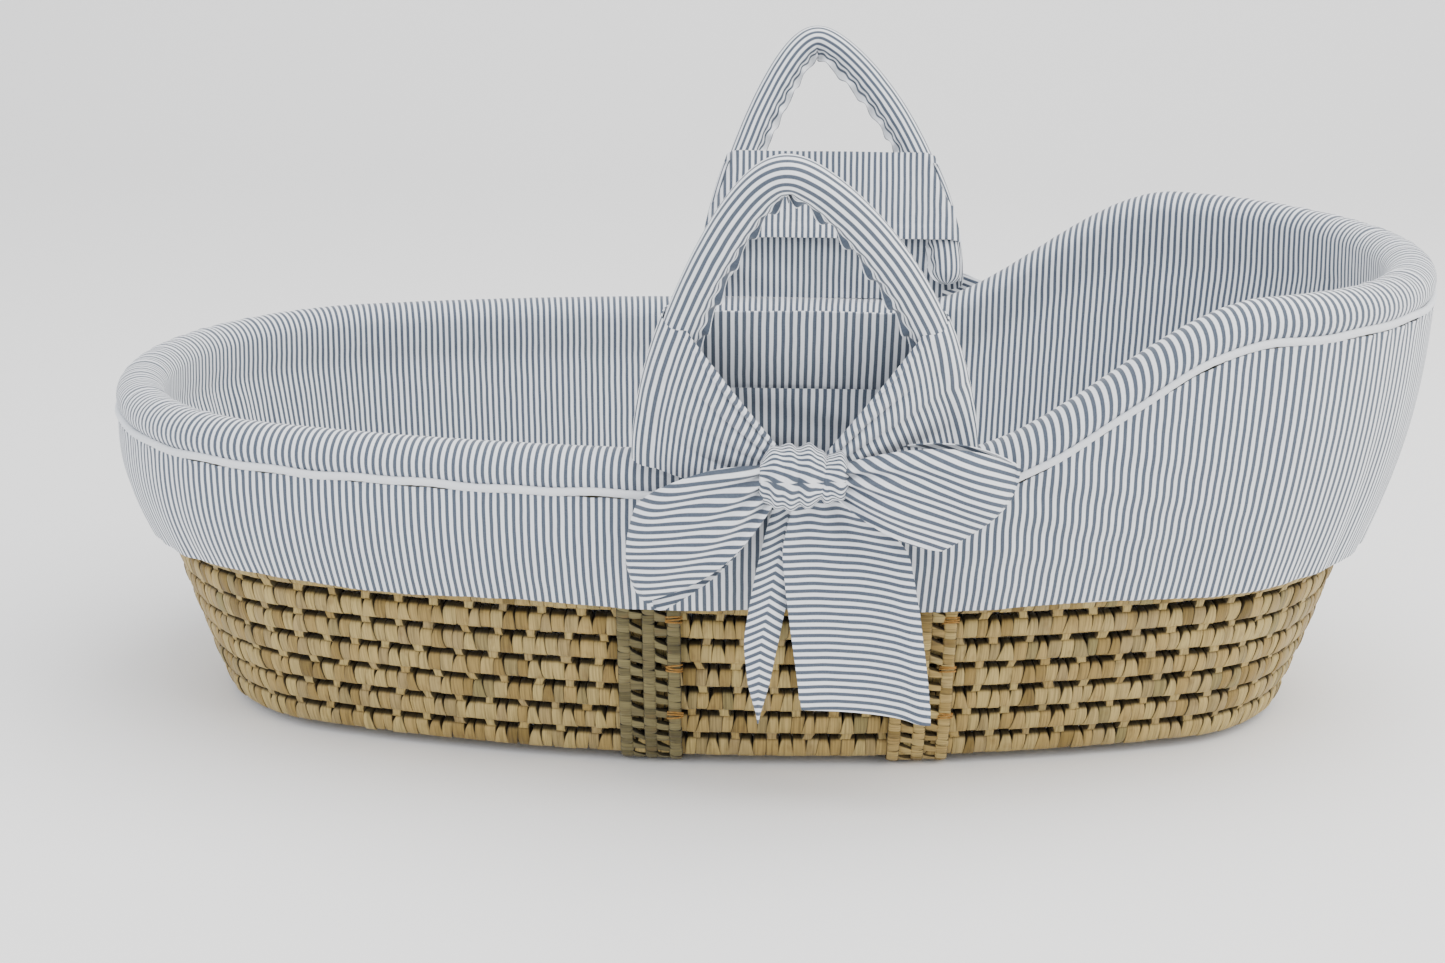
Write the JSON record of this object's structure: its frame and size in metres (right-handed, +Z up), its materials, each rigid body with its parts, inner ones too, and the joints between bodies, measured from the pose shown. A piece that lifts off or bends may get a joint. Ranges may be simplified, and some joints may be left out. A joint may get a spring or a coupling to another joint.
{
  "type": "moses basket",
  "caption": "Oval coiled palm moses basket with a raised head end, striped lining and skirt, a mattress, and padded rope handles dressed with sashes tied in bows.",
  "frame": {"origin": "centre of the footprint on the floor, under the middle of the basket's box, at the straps' undersides", "axes": "+X along the length to the raised head end, +Y across to the far side, +Z up"},
  "size_m": [0.8458, 0.547, 0.4097],
  "materials": {
    "palm_leaf": "matt",
    "green_palm_leaf": "matt",
    "twine": "matt",
    "striped_cotton": "matt",
    "white_piping": "matt",
    "wadding": "matt",
    "elastic": "matt",
    "foam": "matt",
    "white_jersey": "matt"
  },
  "bodies": {
    "basket": {"base_mat": "palm_leaf", "wall_row_01": "palm_leaf", "wall_row_02": "palm_leaf", "wall_row_03": "palm_leaf", "wall_row_04": "palm_leaf", "wall_row_05": "palm_leaf", "wall_row_06": "palm_leaf", "wall_row_07": "palm_leaf", "wall_row_08": "palm_leaf", "wall_row_09": "palm_leaf", "wall_row_10": "palm_leaf", "wall_row_11": "palm_leaf", "head_row_12": "palm_leaf", "head_row_13": "palm_leaf", "head_row_14": "palm_leaf", "head_row_15": "palm_leaf", "head_row_16": "palm_leaf", "row_binding": "green_palm_leaf", "rim_braid": "palm_leaf", "strap_left": "green_palm_leaf", "strap_right": "palm_leaf", "strap_ties": "twine", "rim_wadding": "wadding", "lining": "striped_cotton", "rim_piping": "white_piping", "skirt": "striped_cotton", "hem_elastic": "elastic", "near_sash_wing_left": "striped_cotton", "near_sash_wing_right": "striped_cotton", "near_bow_knot": "striped_cotton", "near_bow_loop_left": "striped_cotton", "near_bow_loop_right": "striped_cotton", "near_bow_tail_narrow": "striped_cotton", "near_bow_tail_wide": "striped_cotton", "far_sash_wing_left": "striped_cotton", "far_sash_wing_right": "striped_cotton", "far_bow_knot": "striped_cotton", "far_bow_loop_left": "striped_cotton", "far_bow_loop_right": "striped_cotton", "far_bow_tail_narrow": "striped_cotton", "far_bow_tail_wide": "striped_cotton"},
    "near_handle": {"near_handle_rope": "palm_leaf", "near_handle_cover": "striped_cotton", "near_sash_panel": "striped_cotton"},
    "far_handle": {"far_handle_rope": "palm_leaf", "far_handle_cover": "striped_cotton", "far_sash_panel": "striped_cotton"},
    "mattress": {"mattress_core": "foam", "mattress_cover": "white_jersey"},
    "pillow": {"pillow_filling": "wadding", "pillow_cover": "striped_cotton"}
  },
  "joints": [
    {"name": "near_handle_swing", "type": "hinge", "parent": "basket", "child": "near_handle", "pos_m": [0.024, -0.19461, 0.23232], "axis": [1, 0, 0], "range_deg": [-73, 45], "deforming": ["near_sash_wing_left", "near_sash_wing_right"]},
    {"name": "far_handle_swing", "type": "hinge", "parent": "basket", "child": "far_handle", "pos_m": [0.046, 0.19461, 0.24017], "axis": [-1, 0, 0], "range_deg": [-73, 45], "deforming": ["far_sash_wing_left", "far_sash_wing_right"]},
    {"name": "mattress_lift", "type": "slide", "parent": "basket", "child": "mattress", "axis": [0, 0, 1], "range_m": [0, 0.36]},
    {"name": "pillow_lift", "type": "slide", "parent": "mattress", "child": "pillow", "axis": [0, 0, 1], "range_m": [0, 0.2]}
  ]
}
